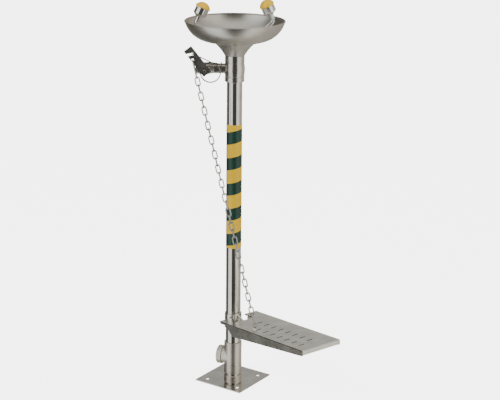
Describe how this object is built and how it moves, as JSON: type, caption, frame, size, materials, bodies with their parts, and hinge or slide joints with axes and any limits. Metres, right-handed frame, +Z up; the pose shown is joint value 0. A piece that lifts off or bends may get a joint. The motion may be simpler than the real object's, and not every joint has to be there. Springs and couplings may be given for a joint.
{
  "type": "eyewash station",
  "caption": "Pedestal eyewash station: steel bowl with capped spray heads on a stand pipe, opened by a foot treadle, chain and lever ball valve.",
  "frame": {"origin": "centre of the base plate's underside, on the stand pipe's axis", "axes": "+Z up the pipe, -X along the water inlet branch, -Y towards the user's side"},
  "size_m": [0.4232, 0.4589, 1.0894],
  "materials": {
    "stainless": "brushed",
    "chrome": "polished",
    "white_plastic": "matt",
    "cap_yellow": "gloss",
    "hazard_tape": "striped tape",
    "lever_steel": "dark satin",
    "spring_steel": "drawn wire",
    "chain_steel": "zinc"
  },
  "bodies": {
    "stand": {"base_plate": "stainless", "foot_nipple": "stainless", "foot_ring": "stainless", "blanking_plug": "stainless", "lower_tee": "stainless", "stand_pipe": "stainless", "hazard_sleeve": "hazard_tape", "hinge_collar": "stainless", "hinge_lug": "stainless", "upper_tee": "stainless", "riser_tube": "stainless", "waste_cone": "stainless", "bowl": "stainless", "strainer": "stainless", "manifold": "chrome", "spray_arm_left": "chrome", "spray_arm_right": "chrome", "spray_cup_left": "chrome", "spray_cup_right": "chrome", "spray_insert_left": "white_plastic", "spray_insert_right": "white_plastic", "valve_body": "stainless", "valve_end_cap": "stainless", "ball_seats": "white_plastic", "stem_packing": "white_plastic", "gland_nut": "stainless", "return_spring": "spring_steel"},
    "treadle": {"treadle_plate": "stainless", "treadle_rib_near": "stainless", "treadle_rib_far": "stainless", "hinge_cheek_near": "stainless", "hinge_cheek_far": "stainless", "hinge_pin": "stainless", "hinge_spacers": "stainless", "hinge_washer": "stainless", "hinge_nut": "stainless", "eye_bolt": "chain_steel", "eye_nuts": "chain_steel"},
    "lever": {"lever_plate": "lever_steel", "lever_washer": "stainless", "lever_nut": "stainless", "valve_stem": "stainless", "valve_ball": "chrome"},
    "chain": {"top_link": "chain_steel", "chain_links": "chain_steel", "end_link": "chain_steel"},
    "cap_left": {"dust_cap_left": "cap_yellow"},
    "cap_right": {"dust_cap_right": "cap_yellow"}
  },
  "joints": [
    {"name": "treadle_hinge", "type": "hinge", "parent": "stand", "child": "treadle", "pos_m": [0.02345, -0.0299, 0.178], "axis": [0.7869, 0.617, 0], "range_deg": [0, 34.77]},
    {"name": "lever_turn", "type": "hinge", "parent": "stand", "child": "lever", "pos_m": [-0.0806, -0.035, 0.9065], "axis": [0, -1, 0], "range_deg": [0, 90], "stiffness_Nm_per_rad": 0.9, "springref_deg": -85.94, "deforming": ["return_spring"]},
    {"name": "chain_swing", "type": "hinge", "parent": "lever", "child": "chain", "pos_m": [-0.11261, -0.035, 0.9352], "axis": [-0.0098, 0.9999, -0.0119], "range_deg": [0, 90], "deforming": ["end_link"]},
    {"name": "cap_left_lift", "type": "slide", "parent": "stand", "child": "cap_left", "axis": [0.4082, 0.1318, 0.9033], "range_m": [0, 0.018]},
    {"name": "cap_right_lift", "type": "slide", "parent": "stand", "child": "cap_right", "axis": [-0.4082, -0.1318, 0.9033], "range_m": [0, 0.018]}
  ],
  "couplings": [
    {"joint": "lever_turn", "follows": "treadle_hinge", "ratio": 2.5881},
    {"joint": "chain_swing", "follows": "treadle_hinge", "ratio": 2.5873}
  ]
}
